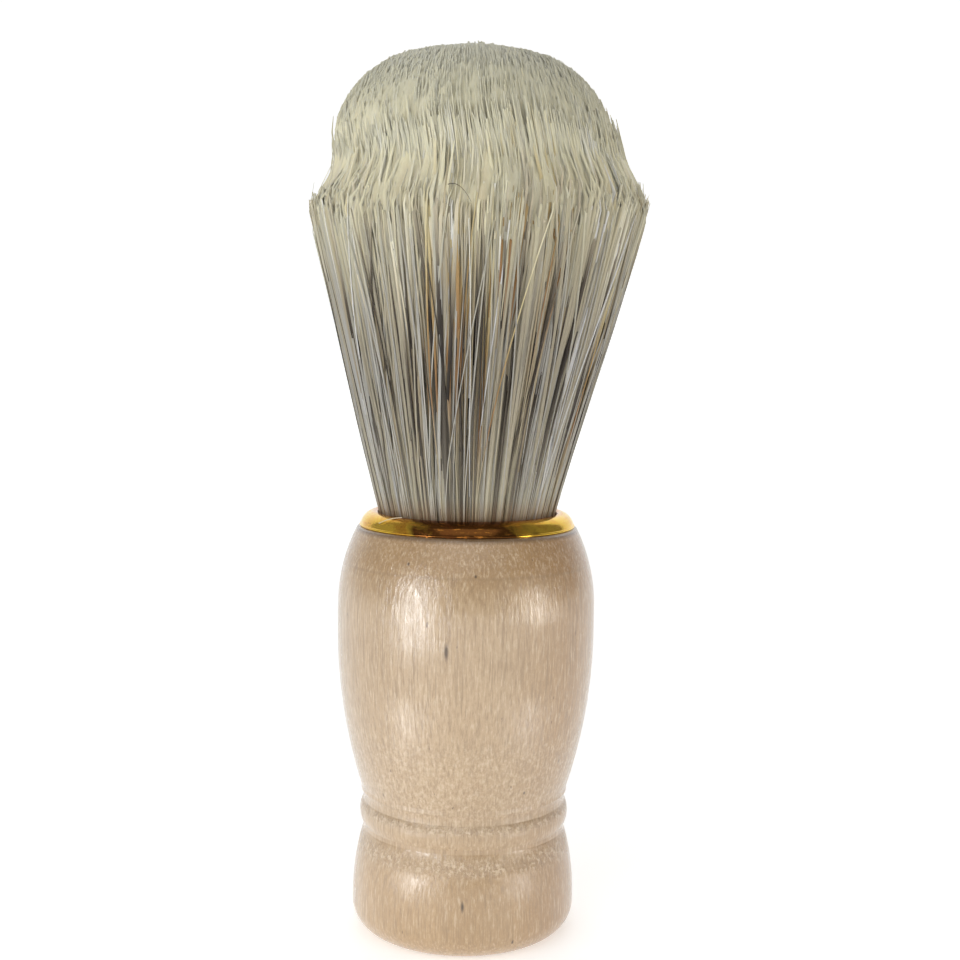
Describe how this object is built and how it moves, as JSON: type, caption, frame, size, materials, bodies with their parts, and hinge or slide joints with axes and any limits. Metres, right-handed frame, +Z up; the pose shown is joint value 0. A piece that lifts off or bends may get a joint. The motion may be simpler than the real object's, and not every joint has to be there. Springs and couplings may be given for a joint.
{
  "type": "shaving brush",
  "caption": "Free-standing shaving brush: turned wooden handle with a grooved waist and rounded foot, domed gilt ferrule, and a knot of layered bristles that bends like the real one.",
  "frame": {"origin": "centre of the foot, on the surface that the brush stands on", "axes": "+Z up along the brush's axis, from the foot to the bristle tips; +Y away from the viewer; +X to the viewer's right"},
  "size_m": [0.0414, 0.0414, 0.1091],
  "materials": {
    "handle_wood": "gloss",
    "gilt_metal": "polished",
    "glue": "gloss",
    "resin": "gloss",
    "thread": "matte",
    "core_bristle": "satin",
    "middle_bristle": "satin",
    "outer_bristle": "satin"
  },
  "bodies": {
    "handle": {"handle": "handle_wood", "ferrule": "gilt_metal", "socket_glue": "glue", "resin_plug": "resin", "binding_thread": "thread", "core_bristle_roots": "core_bristle", "middle_bristle_roots": "middle_bristle", "outer_bristle_roots": "outer_bristle"},
    "knot_lower": {"core_bristles_lower": "core_bristle", "middle_bristles_lower": "middle_bristle", "outer_bristles_lower": "outer_bristle"},
    "knot_upper": {"core_bristles_upper": "core_bristle", "middle_bristles_upper": "middle_bristle", "outer_bristles_upper": "outer_bristle"}
  },
  "joints": [
    {"name": "sideways_bend", "type": "hinge", "parent": "handle", "child": "knot_lower", "pos_m": [0, 0, 0.056], "axis": [0, 1, 0], "range_deg": [-25, 25], "stiffness_Nm_per_rad": 0.3},
    {"name": "fore_and_aft_bend", "type": "hinge", "parent": "knot_lower", "child": "knot_upper", "pos_m": [0, 0, 0.07], "axis": [1, 0, 0], "range_deg": [-20, 20], "stiffness_Nm_per_rad": 0.3}
  ]
}
